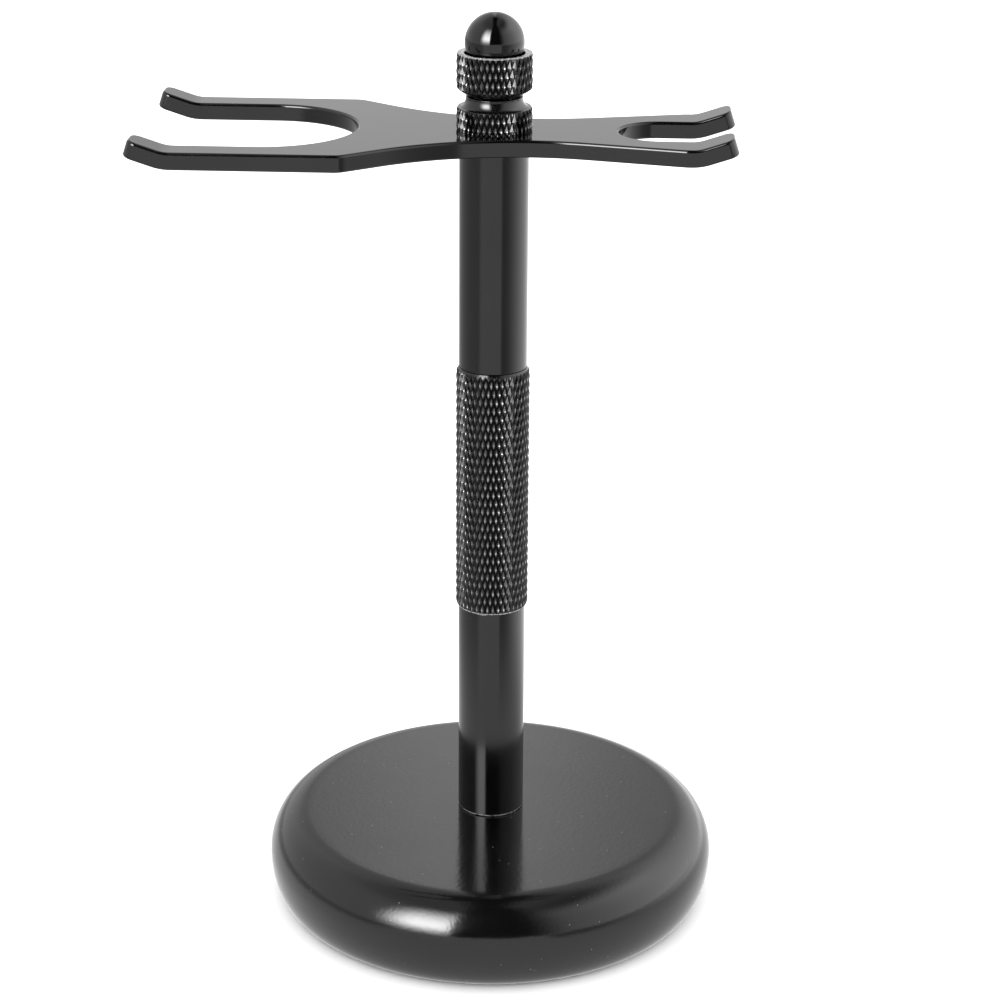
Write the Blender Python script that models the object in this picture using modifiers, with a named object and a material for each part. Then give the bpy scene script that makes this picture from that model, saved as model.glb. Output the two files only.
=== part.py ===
"""Two-sided razor and brush stand: a weighted base, a post of two tubes joined by a knurled grip,
a forked plate that turns on the post, and a finial that screws down to hold the plate.

Sizes are in millimetres and become metres when a mesh is made. The origin is the middle of the
pad's underside, +X points to the razor slot and +Z goes up the post.
"""
import bpy
import bmesh
from math import acos, atan2, ceil, cos, degrees, hypot, pi, radians, sin, tan
from mathutils import Vector

MM = 0.001
GAP = 0.3                      # clearance between neighbouring pieces
EDGE = 0.2                     # broken edge on small turned pieces

# base
BASE_RADIUS = 34.2
BASE_TOP = 14.05
BASE_UNDERSIDE = 0.3           # the pad stands this much proud of it
BASE_WIDEST = 7.25             # height of the widest level
BASE_TOP_FLAT = 28.3           # radius where the flat top starts to fall away
BASE_BOTTOM_FLAT = 31.3
PAD_RADIUS = 26.7
PAD_THICKNESS = 1.4
WELL_RADIUS = 6.8              # counterbore for the screw's head and washers
WELL_TOP = 7.2
FLAT_WASHER_RADIUS = 6.2
FLAT_WASHER_THICKNESS = 1.0
LOCK_WASHER_RADIUS = 4.9
LOCK_WASHER_THICKNESS = 1.1
LOCK_SPLIT = 0.7
SCREW_HEAD_RADIUS = 4.6
SCREW_KEY_RADIUS = 2.3         # hexagon socket, across its corners
SCREW_KEY_DEPTH = 1.3

# post
TUBE_RADIUS = 5.0
TUBE_BORE = 4.0
THREAD_RADIUS = 2.35           # M5 fasteners, drawn without their threads
THREAD_HOLE = THREAD_RADIUS + GAP
INSERT_RADIUS = TUBE_BORE - GAP
INSERT_LENGTH = 11.0
STUD_REACH = 9.0               # how deep a stud goes into a threaded piece
STUD_CHAMFER = 0.4
STUD_KEY_RADIUS = 1.25
STUD_KEY_DEPTH = 1.6
GRIP_RADIUS = 5.46
GRIP_BOTTOM = 47.9
GRIP_TOP = 85.5
GRIP_TOP_CHAMFER = 0.42
GRIP_FOOT_RADIUS = 5.2
GRIP_FOOT_HEIGHT = 0.6
FORK_WASHER_THICKNESS = 0.9

# fork plate, drawn flat before its tips are bent
PLATE_BOTTOM = 118.3
PLATE_THICKNESS = 2.5
PLATE_TOP = PLATE_BOTTOM + PLATE_THICKNESS
BRUSH_SLOT_END = -19.5
BRUSH_SLOT_HALF = 13.0
BRUSH_HALF = 17.85
BRUSH_SHOULDER = -20.4
BRUSH_BEND = -43.7             # where a brush tip starts to bend up
BRUSH_TIP_LENGTH = 6.5         # developed length from there
RAZOR_SLOT_END = 17.7
RAZOR_SLOT_HALF = 5.85
RAZOR_HALF = 11.45
RAZOR_SHOULDER = 27.2
RAZOR_BEND = 27.9
RAZOR_TIP_LENGTH = 6.45
WAIST_X = -2.2                 # where the two tapers would meet without the waist's arc
WAIST_HALF = 4.3
WAIST_ARC = 34.0
SHOULDER_ARC = 3.0
TIP_CORNER = 1.4
TIP_BEND_ARC = 7.0
TIP_ANGLE = radians(18.3)
BEND_STEPS = 4

# finial
COLLAR_TOP = PLATE_TOP + 2.9
COLLAR_LIP_RADIUS = 5.25
COLLAR_LIP_HEIGHT = 0.3
COVE_RADIUS = 5.0              # where the cove leaves the collar's top
COVE_HEIGHT = 1.6
NECK_RADIUS = 4.05
NECK_TOP = 125.5
RING_SHOULDER = 126.7
RING_TOP = 131.7
RING_EDGE = 0.12
CUP_RADIUS = 4.5               # cup in the ring that holds the ball
CUP_FLOOR_RADIUS = 2.9
CUP_WALL_FOOT = 2.0
BALL_RADIUS = 4.26
BALL_CENTRE = 133.14
FORK_STUD_TOP = 131.6

SMALL_STEPS = 32
POST_STEPS = 48
BASE_STEPS = 64

BLACK_ENAMEL = ((0.012, 0.012, 0.013), 0.2, 0.0)
BLACK_SATIN = ((0.014, 0.014, 0.015), 0.32, 0.0)
BLACK_GLOSS = ((0.008, 0.008, 0.009), 0.1, 0.0)
ZINC_STEEL = ((0.55, 0.56, 0.58), 0.35, 1.0)
BRASS = ((0.70, 0.55, 0.28), 0.35, 1.0)
PAD_RUBBER = ((0.03, 0.03, 0.03), 0.85, 0.0)
NYLON = ((0.80, 0.80, 0.76), 0.55, 0.0)


def clear_scene():
    for obj in list(bpy.data.objects):
        bpy.data.objects.remove(obj, do_unlink=True)


def make_collection(name):
    collection = bpy.data.collections.new(name)
    bpy.context.scene.collection.children.link(collection)
    return collection


def add_axis(name, parent):
    """Empty on the post's axis, the parent of the pieces that move together."""
    empty = bpy.data.objects.new(name, None)
    empty.empty_display_size = 10 * MM
    parts.objects.link(empty)
    empty.parent = parent
    return empty


def add_material(obj, finish):
    color, roughness, metallic = finish
    material = bpy.data.materials.new(obj.name + "_finish")
    material.use_nodes = True
    shader = material.node_tree.nodes["Principled BSDF"]
    shader.inputs["Base Color"].default_value = (*color, 1.0)
    shader.inputs["Roughness"].default_value = roughness
    shader.inputs["Metallic"].default_value = metallic
    obj.data.materials.append(material)


# ---- turned pieces

def arc_points(centre, radii, start, end, steps):
    """Points on an ellipse from angle start to angle end, in degrees."""
    angles = [radians(start + (end - start) * i / steps) for i in range(steps + 1)]
    return [(centre[0] + radii[0] * cos(a), centre[1] + radii[1] * sin(a)) for a in angles]


def ring_profile(inner, outer, bottom, top, edge):
    """Closed loop of a ring whose outer corners are cut by edge."""
    return [(inner, top), (outer - edge, top), (outer, top - edge),
            (outer, bottom + edge), (outer - edge, bottom), (inner, bottom)]


def rod_profile(radius, bottom, top, edge):
    """Open loop of a solid rod with chamfered ends."""
    return [(0.0, top), (radius - edge, top), (radius, top - edge),
            (radius, bottom + edge), (radius - edge, bottom), (0.0, bottom)]


def turn(name, profile, finish, parent, steps):
    """Solid of revolution from (radius, height) points that run down its outer side.

    A profile that ends on the axis is open there, any other is a closed loop.
    """
    count = len(profile)
    last = count if profile[-1][0] > 0.0 else count - 1
    mesh = bpy.data.meshes.new(name)
    mesh.from_pydata([(r * MM, 0.0, z * MM) for r, z in profile],
                     [(i, (i + 1) % count) for i in range(last)], [])
    obj = bpy.data.objects.new(name, mesh)
    parts.objects.link(obj)
    obj.parent = parent
    screw = obj.modifiers.new("turn", "SCREW")
    screw.axis = "Z"
    screw.angle = 2 * pi
    screw.steps = steps
    screw.render_steps = steps
    screw.use_merge_vertices = True
    screw.merge_threshold = 0.01 * MM
    screw.use_smooth_shade = True
    add_material(obj, finish)
    return obj


# ---- cutters

def add_cutter(name, shape, centre):
    """Turns a bmesh into a wire cutter object placed at centre."""
    mesh = bpy.data.meshes.new(name)
    shape.to_mesh(mesh)
    shape.free()
    cutter = bpy.data.objects.new(name, mesh)
    cutter.location = [side * MM for side in centre]
    cutter.hide_render = True
    cutter.display_type = "WIRE"
    cutters.objects.link(cutter)
    return cutter


def hexagon_cutter(name, radius, bottom, top):
    shape = bmesh.new()
    bmesh.ops.create_cone(shape, cap_ends=True, segments=6, radius1=radius * MM,
                          radius2=radius * MM, depth=(top - bottom) * MM)
    return add_cutter(name, shape, (0.0, 0.0, (bottom + top) / 2))


def box_cutter(name, size, centre):
    shape = bmesh.new()
    bmesh.ops.create_cube(shape, size=1.0)
    bmesh.ops.scale(shape, vec=[side * MM for side in size], verts=shape.verts)
    return add_cutter(name, shape, centre)


def cut(obj, cutter):
    boolean = obj.modifiers.new("cut_" + cutter.name, "BOOLEAN")
    boolean.operation = "DIFFERENCE"
    boolean.solver = "EXACT"
    boolean.object = cutter


# ---- fork plate

def corner_arc(before, corner, after, radius, step):
    """Points of the arc that rounds one corner of a path."""
    corner = Vector(corner)
    to_before = (Vector(before) - corner).normalized()
    to_after = (Vector(after) - corner).normalized()
    half_angle = acos(to_before.dot(to_after)) / 2
    centre = corner + (to_before + to_after).normalized() * (radius / sin(half_angle))
    reach = radius / tan(half_angle)
    first = corner + to_before * reach - centre
    last = corner + to_after * reach - centre
    start = degrees(atan2(first.y, first.x))
    sweep = degrees(atan2(first.x * last.y - first.y * last.x, first.dot(last)))
    return arc_points(centre, (radius, radius), start, start + sweep, max(2, ceil(abs(sweep) / step)))


def rounded_path(corners):
    """Open path through corners (x, y, radius, degrees per step), each one between the ends rounded."""
    points = [corner[:2] for corner in corners]
    path = [points[0]]
    for i in range(1, len(points) - 1):
        path += corner_arc(points[i - 1], points[i], points[i + 1], *corners[i][2:])
    path.append(points[-1])
    kept = [path[0]]
    kept += [b for a, b in zip(path, path[1:]) if hypot(b[0] - a[0], b[1] - a[1]) > 0.01]
    return kept


def fork_outline():
    """Outline of the flat plate: the +Y half, then its mirror image."""
    brush_tip = BRUSH_BEND - BRUSH_TIP_LENGTH
    razor_tip = RAZOR_BEND + RAZOR_TIP_LENGTH
    half = rounded_path([
        (BRUSH_SLOT_END, 0.0),
        (BRUSH_SLOT_END, BRUSH_SLOT_HALF, BRUSH_SLOT_HALF, 9.0),
        (brush_tip, BRUSH_SLOT_HALF, TIP_CORNER, 22.5),
        (brush_tip, BRUSH_HALF, TIP_CORNER, 22.5),
        (BRUSH_SHOULDER, BRUSH_HALF, SHOULDER_ARC, 12.0),
        (WAIST_X, WAIST_HALF, WAIST_ARC, 6.0),
        (RAZOR_SHOULDER, RAZOR_HALF, SHOULDER_ARC, 8.0),
        (razor_tip, RAZOR_HALF, TIP_CORNER, 22.5),
        (razor_tip, RAZOR_SLOT_HALF, TIP_CORNER, 22.5),
        (RAZOR_SLOT_END, RAZOR_SLOT_HALF, RAZOR_SLOT_HALF, 11.25),
        (RAZOR_SLOT_END, 0.0),
    ])
    return half + [(x, -y) for x, y in reversed(half[1:-1])]


def add_loop(curve, points):
    spline = curve.splines.new("POLY")
    spline.points.add(len(points) - 1)
    for target, (x, y) in zip(spline.points, points):
        target.co = (x * MM, y * MM, 0.0, 1.0)
    spline.use_cyclic_u = True


def bent(point, start, side):
    """Where a point of the flat plate goes when the tip beyond start is rolled up along an arc."""
    beyond = (point.x / MM - start) * side
    if beyond <= 0.0:
        return point
    height = point.z / MM
    angle = min(beyond / TIP_BEND_ARC, TIP_ANGLE)
    straight = max(0.0, beyond - TIP_BEND_ARC * TIP_ANGLE)
    out = (TIP_BEND_ARC - height) * sin(angle) + straight * cos(angle)
    up = TIP_BEND_ARC - (TIP_BEND_ARC - height) * cos(angle) + straight * sin(angle)
    return Vector(((start + side * out) * MM, point.y, up * MM))


def flat_plate_mesh():
    """Mesh of the plate before bending, from a filled 2D curve with the stud's hole in it."""
    curve = bpy.data.curves.new("fork_plate_outline", "CURVE")
    curve.dimensions = "2D"
    curve.fill_mode = "BOTH"
    curve.extrude = PLATE_THICKNESS / 2 * MM
    add_loop(curve, fork_outline())
    add_loop(curve, arc_points((0.0, 0.0), (THREAD_HOLE, THREAD_HOLE), 0.0, 348.75, 31))
    flat = bpy.data.objects.new("fork_plate_flat", curve)
    parts.objects.link(flat)
    bpy.context.view_layer.update()
    evaluated = flat.evaluated_get(bpy.context.evaluated_depsgraph_get())
    mesh = bpy.data.meshes.new_from_object(evaluated)
    mesh.name = "fork_plate"
    bpy.data.objects.remove(flat, do_unlink=True)
    return mesh


def build_fork_plate(parent):
    mesh = flat_plate_mesh()
    bends = ((BRUSH_BEND, -1), (RAZOR_BEND, 1))
    shape = bmesh.new()
    shape.from_mesh(mesh)
    bmesh.ops.remove_doubles(shape, verts=shape.verts, dist=0.01 * MM)
    for start, side in bends:
        for i in range(BEND_STEPS + 1):
            place = start + side * TIP_BEND_ARC * TIP_ANGLE * i / BEND_STEPS
            bmesh.ops.bisect_plane(shape, geom=shape.verts[:] + shape.edges[:] + shape.faces[:],
                                   dist=0.001 * MM, plane_co=(place * MM, 0.0, 0.0),
                                   plane_no=(1.0, 0.0, 0.0))
    for vert in shape.verts:
        for start, side in bends:
            vert.co = bent(vert.co, start, side)
    bmesh.ops.recalc_face_normals(shape, faces=shape.faces)
    shape.to_mesh(mesh)
    shape.free()
    mesh.shade_smooth()
    mesh.set_sharp_from_angle(angle=radians(30))
    obj = bpy.data.objects.new("fork_plate", mesh)
    obj.location.z = (PLATE_BOTTOM + PLATE_TOP) / 2 * MM
    parts.objects.link(obj)
    obj.parent = parent
    add_material(obj, BLACK_ENAMEL)


# ---- base

def build_base_weight(parent):
    ceiling = PAD_THICKNESS + GAP
    rim = PAD_RADIUS + GAP
    profile = [(THREAD_HOLE, BASE_TOP)]
    profile += arc_points((BASE_TOP_FLAT, BASE_WIDEST),
                          (BASE_RADIUS - BASE_TOP_FLAT, BASE_TOP - BASE_WIDEST), 90, 0, 9)
    profile += arc_points((BASE_BOTTOM_FLAT, BASE_WIDEST),
                          (BASE_RADIUS - BASE_BOTTOM_FLAT, BASE_WIDEST - BASE_UNDERSIDE), 0, -90, 9)[1:]
    profile += [(rim, BASE_UNDERSIDE), (rim, ceiling), (WELL_RADIUS, ceiling),
                (WELL_RADIUS, WELL_TOP), (THREAD_HOLE, WELL_TOP)]
    turn("base_weight", profile, BLACK_ENAMEL, parent, BASE_STEPS)


def build_base_fixings(parent):
    """The screw that comes up through the base, with its two washers, hidden by the pad."""
    washer_top = WELL_TOP - GAP
    washer_bottom = washer_top - FLAT_WASHER_THICKNESS
    turn("base_flat_washer", ring_profile(THREAD_HOLE, FLAT_WASHER_RADIUS, washer_bottom, washer_top, EDGE),
         ZINC_STEEL, parent, SMALL_STEPS)
    lock_top = washer_bottom - GAP
    lock_bottom = lock_top - LOCK_WASHER_THICKNESS
    lock = turn("base_lock_washer",
                ring_profile(THREAD_HOLE, LOCK_WASHER_RADIUS, lock_bottom, lock_top, EDGE),
                ZINC_STEEL, parent, SMALL_STEPS)
    cut(lock, box_cutter("lock_washer_split", (2 * THREAD_HOLE, LOCK_SPLIT, 2 * LOCK_WASHER_THICKNESS),
                         (LOCK_WASHER_RADIUS, 0.0, (lock_bottom + lock_top) / 2)))
    head_top = lock_bottom - GAP
    head_bottom = PAD_THICKNESS + 2 * GAP
    shank_top = BASE_TOP + STUD_REACH
    screw = turn("base_screw", [(0.0, shank_top), (THREAD_RADIUS - STUD_CHAMFER, shank_top),
                                (THREAD_RADIUS, shank_top - STUD_CHAMFER), (THREAD_RADIUS, head_top),
                                (SCREW_HEAD_RADIUS, head_top), (SCREW_HEAD_RADIUS, head_bottom + EDGE),
                                (SCREW_HEAD_RADIUS - EDGE, head_bottom), (0.0, head_bottom)],
                 ZINC_STEEL, parent, SMALL_STEPS)
    cut(screw, hexagon_cutter("base_screw_socket", SCREW_KEY_RADIUS, head_bottom - SCREW_KEY_DEPTH,
                              head_bottom + SCREW_KEY_DEPTH))


# ---- post

def build_tube(name, bottom, top, parent):
    turn(name, ring_profile(TUBE_BORE, TUBE_RADIUS, bottom, top, EDGE), BLACK_SATIN, parent, POST_STEPS)


def build_insert(name, bottom, parent):
    """Threaded bush pressed into the end of a tube."""
    turn(name, ring_profile(THREAD_HOLE, INSERT_RADIUS, bottom, bottom + INSERT_LENGTH, EDGE),
         BRASS, parent, SMALL_STEPS)


def build_stud(name, bottom, top, parent):
    """Headless screw with a hexagon socket in its upper end."""
    stud = turn(name, rod_profile(THREAD_RADIUS, bottom, top, STUD_CHAMFER), ZINC_STEEL, parent, SMALL_STEPS)
    cut(stud, hexagon_cutter(name + "_socket", STUD_KEY_RADIUS, top - STUD_KEY_DEPTH, top + STUD_KEY_DEPTH))


def build_post(parent):
    lower_bottom = BASE_TOP + GAP
    lower_top = GRIP_BOTTOM - GAP
    upper_bottom = GRIP_TOP + GAP
    upper_top = PLATE_BOTTOM - GAP
    washer_bottom = upper_top - FORK_WASHER_THICKNESS
    top_insert = washer_bottom - GAP - INSERT_LENGTH
    build_tube("lower_tube", lower_bottom, lower_top, parent)
    build_tube("upper_tube", upper_bottom, upper_top, parent)
    build_insert("lower_tube_bottom_insert", lower_bottom, parent)
    build_insert("lower_tube_top_insert", lower_top - INSERT_LENGTH, parent)
    build_insert("upper_tube_bottom_insert", upper_bottom, parent)
    build_insert("upper_tube_top_insert", top_insert, parent)
    build_stud("grip_lower_stud", GRIP_BOTTOM - STUD_REACH, GRIP_BOTTOM + STUD_REACH, parent)
    build_stud("grip_upper_stud", GRIP_TOP - STUD_REACH, GRIP_TOP + STUD_REACH, parent)
    build_stud("fork_stud", top_insert + INSERT_LENGTH - STUD_REACH, FORK_STUD_TOP, parent)
    turn("grip_sleeve", [(THREAD_HOLE, GRIP_TOP), (GRIP_RADIUS - GRIP_TOP_CHAMFER, GRIP_TOP),
                         (GRIP_RADIUS, GRIP_TOP - GRIP_TOP_CHAMFER),
                         (GRIP_RADIUS, GRIP_BOTTOM + GRIP_FOOT_HEIGHT),
                         (GRIP_FOOT_RADIUS, GRIP_BOTTOM), (THREAD_HOLE, GRIP_BOTTOM)],
         BLACK_SATIN, parent, POST_STEPS)
    turn("fork_washer", ring_profile(THREAD_HOLE, INSERT_RADIUS, washer_bottom, upper_top, EDGE),
         NYLON, parent, SMALL_STEPS)


# ---- finial

def build_finial_collar(parent):
    bottom = PLATE_TOP + GAP
    cove = arc_points((COVE_RADIUS, COLLAR_TOP + COLLAR_LIP_HEIGHT + COVE_HEIGHT),
                      (COVE_RADIUS - NECK_RADIUS, COVE_HEIGHT), 180, 270, 6)
    profile = [(THREAD_HOLE, NECK_TOP), (NECK_RADIUS, NECK_TOP)] + cove
    profile += [(COLLAR_LIP_RADIUS, COLLAR_TOP + COLLAR_LIP_HEIGHT), (GRIP_RADIUS, COLLAR_TOP),
                (GRIP_RADIUS, bottom + EDGE), (GRIP_RADIUS - EDGE, bottom), (THREAD_HOLE, bottom)]
    turn("finial_collar", profile, BLACK_SATIN, parent, POST_STEPS)


def build_finial_ring(parent):
    bottom = NECK_TOP + GAP
    floor = BALL_CENTRE - BALL_RADIUS - GAP
    turn("finial_ring", [(THREAD_HOLE, floor), (CUP_FLOOR_RADIUS, floor), (CUP_RADIUS, floor + CUP_WALL_FOOT),
                         (CUP_RADIUS, RING_TOP), (GRIP_RADIUS - RING_EDGE, RING_TOP),
                         (GRIP_RADIUS, RING_TOP - RING_EDGE), (GRIP_RADIUS, RING_SHOULDER),
                         (NECK_RADIUS, bottom), (THREAD_HOLE, bottom)],
         BLACK_SATIN, parent, POST_STEPS)


def build_finial_ball(parent):
    """Ball with a blind hole from below for the end of the stud."""
    mouth = -degrees(acos(THREAD_HOLE / BALL_RADIUS))
    hole_top = FORK_STUD_TOP + GAP
    profile = arc_points((0.0, BALL_CENTRE), (BALL_RADIUS, BALL_RADIUS), 90, mouth, 16)
    profile += [(THREAD_HOLE, hole_top), (0.0, hole_top)]
    turn("finial_ball", profile, BLACK_GLOSS, parent, POST_STEPS)


clear_scene()
parts = make_collection("razor_stand")
cutters = make_collection("cutters")
stand = add_axis("stand", None)
fork_axis = add_axis("fork_axis", stand)
finial_axis = add_axis("finial_axis", stand)
build_base_weight(stand)
turn("base_pad", rod_profile(PAD_RADIUS, 0.0, PAD_THICKNESS, EDGE), PAD_RUBBER, stand, BASE_STEPS)
build_base_fixings(stand)
build_post(stand)
build_fork_plate(fork_axis)
build_finial_collar(finial_axis)
build_finial_ring(finial_axis)
build_finial_ball(finial_axis)
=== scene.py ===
# Stand for a razor and a shaving brush: the looks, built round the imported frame.
# Lengths in the dictionaries are millimetres and angles are degrees; meshes are in metres.
import math
import bpy
import numpy as np
from mathutils import Matrix, Vector


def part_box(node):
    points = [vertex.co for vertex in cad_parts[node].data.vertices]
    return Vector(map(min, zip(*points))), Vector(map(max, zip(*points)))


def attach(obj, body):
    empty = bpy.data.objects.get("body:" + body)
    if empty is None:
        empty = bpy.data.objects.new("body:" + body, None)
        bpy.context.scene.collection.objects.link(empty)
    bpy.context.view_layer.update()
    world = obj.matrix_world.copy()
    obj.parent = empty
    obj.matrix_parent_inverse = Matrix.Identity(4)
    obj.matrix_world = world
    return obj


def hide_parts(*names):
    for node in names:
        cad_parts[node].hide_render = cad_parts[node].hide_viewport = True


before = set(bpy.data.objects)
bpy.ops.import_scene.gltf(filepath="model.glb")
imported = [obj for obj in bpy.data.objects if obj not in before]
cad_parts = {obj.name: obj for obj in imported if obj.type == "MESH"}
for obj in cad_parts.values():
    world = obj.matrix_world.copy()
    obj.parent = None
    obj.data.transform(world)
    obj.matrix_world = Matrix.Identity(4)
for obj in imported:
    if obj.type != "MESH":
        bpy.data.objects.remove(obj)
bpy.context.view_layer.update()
scene = bpy.context.scene
mm = 0.001
turn = 2 * math.pi


# Radius, bottom and top of a turned node.
def turnedSize(node):
    low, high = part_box(node)
    return high.x / mm, low.z / mm, high.z / mm


def unit(arrow):
    return arrow / np.linalg.norm(arrow)


# Path through corners (a, b, radius). A corner with a radius becomes an arc that touches both
# sides: centre plus an arrow that turns evenly from one touching point to the other. A short
# straight step stays before and after the arc, so that the flats beside it shade flat.
def roundedPath(corners, steps=8, hold=0.04):
    spots = np.array([corner[:2] for corner in corners], float)
    rows = [spots[:1]]
    for before, here, after, corner in zip(spots, spots[1:], spots[2:], corners[1:]):
        radius = corner[2]
        if radius == 0:
            rows.append(here[None])
            continue
        back, ahead = unit(before - here), unit(after - here)
        halfAngle = math.acos(back @ ahead) / 2
        centre = here + unit(back + ahead) * radius / math.sin(halfAngle)
        reach = radius / math.tan(halfAngle)
        first, last = here + back * reach, here + ahead * reach
        sweep = math.pi - 2 * halfAngle
        share = np.linspace(0, 1, steps + 1)[:, None]
        arrow = (first - centre) * np.sin((1 - share) * sweep) + (last - centre) * np.sin(share * sweep)
        rows += [first[None] + back * hold, centre + arrow / math.sin(sweep), last[None] + ahead * hold]
    return np.concatenate(rows + [spots[-1:]])


# Ellipse arc: centre plus (cos, sin) of an angle running from start to end, times the radii.
def ellipseArc(centre, radii, start, end, steps):
    angle = np.radians(np.linspace(start, end, steps + 1))
    return np.stack([centre[0] + radii[0] * np.cos(angle), centre[1] + radii[1] * np.sin(angle)], -1)


# Mesh object from points in millimetres and a list of face arrays, each row one face's corners.
# smooth says for each face whether it shades smooth.
def addPiece(name, points, faceArrays, body, material, standsFor, smooth=None):
    sides = np.concatenate([np.full(len(rows), rows.shape[1]) for rows in faceArrays])
    corners = np.concatenate([rows.ravel() for rows in faceArrays])
    mesh = bpy.data.meshes.new(name)
    mesh.vertices.add(len(points))
    mesh.vertices.foreach_set("co", (points * mm).astype(np.float32).ravel())
    mesh.loops.add(len(corners))
    mesh.loops.foreach_set("vertex_index", corners.astype(np.int32))
    mesh.polygons.add(len(sides))
    mesh.polygons.foreach_set("loop_start", (np.cumsum(sides) - sides).astype(np.int32))
    if smooth is None:
        smooth = np.ones(len(sides), bool)
    mesh.polygons.foreach_set("use_smooth", smooth)
    mesh.update(calc_edges=True)
    piece = bpy.data.objects.new(name, mesh)
    scene.collection.objects.link(piece)
    mesh.materials.append(material)
    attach(piece, body)
    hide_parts(*standsFor)
    print("  %s: %d points, %d faces" % (name, len(points), len(sides)))
    return piece


# Turned surface. Row i, column j is (r cos a, r sin a, z) with a = full turn * j / columns, and r
# given for each row, or for each row and column. Rows run down the outer side. A first or last
# row on the axis becomes one point, and rows that never meet the axis close on themselves.
def turnedGrid(radius, height, columns):
    radius = np.broadcast_to(np.asarray(radius, float).reshape(len(height), -1), (len(height), columns))
    topPole, bottomPole = radius[0, 0] == 0, radius[-1, 0] == 0
    ringRadius = radius[int(topPole):len(height) - int(bottomPole)]
    ringHeight = np.asarray(height, float)[int(topPole):len(height) - int(bottomPole)]
    angle = np.arange(columns) * turn / columns
    rings = np.stack([ringRadius * np.cos(angle), ringRadius * np.sin(angle),
                      np.broadcast_to(ringHeight[:, None], ringRadius.shape)], -1)
    points = [rings.reshape(-1, 3)]
    count = len(ringHeight)
    closed = not (topPole or bottomPole)
    row = np.arange(count if closed else count - 1)[:, None]
    column = np.arange(columns)
    nextRow, nextColumn = (row + 1) % count, (column + 1) % columns
    quads = np.stack([row * columns + column, nextRow * columns + column,
                      nextRow * columns + nextColumn, row * columns + nextColumn], -1)
    fans = []
    if topPole:
        points.append([[0, 0, height[0]]])
        fans.append(np.stack([np.full(columns, count * columns), column, nextColumn], -1))
    if bottomPole:
        points.append([[0, 0, height[-1]]])
        lastRow = (count - 1) * columns
        pole = count * columns + int(topPole)
        fans.append(np.stack([lastRow + column, np.full(columns, pole), lastRow + nextColumn], -1))
    return np.concatenate(points), quads, fans


def addNode(tree, kind, inputs=None, **settings):
    node = tree.nodes.new(kind)
    for key, value in settings.items():
        setattr(node, key, value)
    for key, value in (inputs or {}).items():
        if isinstance(value, bpy.types.NodeSocket):
            tree.links.new(value, node.inputs[key])
        else:
            node.inputs[key].default_value = value
    return node


def mathNode(tree, operation, first, second=0.0, third=0.0):
    return addNode(tree, "ShaderNodeMath", {0: first, 1: second, 2: third}, operation=operation).outputs[0]


# Straight ramp from one range to another, held at its ends.
def rampNode(tree, value, low, high, toLow, toHigh, soft=False):
    settings = {"interpolation_type": "SMOOTHSTEP"} if soft else {}
    inputs = {"Value": value, "From Min": low, "From Max": high, "To Min": toLow, "To Max": toHigh}
    return addNode(tree, "ShaderNodeMapRange", inputs, **settings).outputs[0]


def noiseNode(tree, place, size, detail=2.0, roughness=0.5):
    inputs = {"Vector": place, "Scale": 1 / (size * mm), "Detail": detail, "Roughness": roughness}
    return addNode(tree, "ShaderNodeTexNoise", inputs).outputs[0]


# Colour between two others, each a value or a socket.
def blendNode(tree, share, first, second):
    blend = addNode(tree, "ShaderNodeMix", {"Factor": share}, data_type="RGBA")
    for key, color in (("A", first), ("B", second)):
        if isinstance(color, bpy.types.NodeSocket):
            tree.links.new(color, colorInput(blend, key))
        else:
            colorInput(blend, key).default_value = (*color, 1)
    return [socket for socket in blend.outputs if socket.type == "RGBA"][0]


def colorInput(blend, key):
    return [socket for socket in blend.inputs if socket.type == "RGBA" and socket.name == key][0]


def startMaterial(name):
    material = bpy.data.materials.new(name)
    material.use_nodes = True
    tree = material.node_tree
    shader = tree.nodes["Principled BSDF"]
    place = addNode(tree, "ShaderNodeTexCoord").outputs["Object"]
    return material, tree, shader, place


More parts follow.
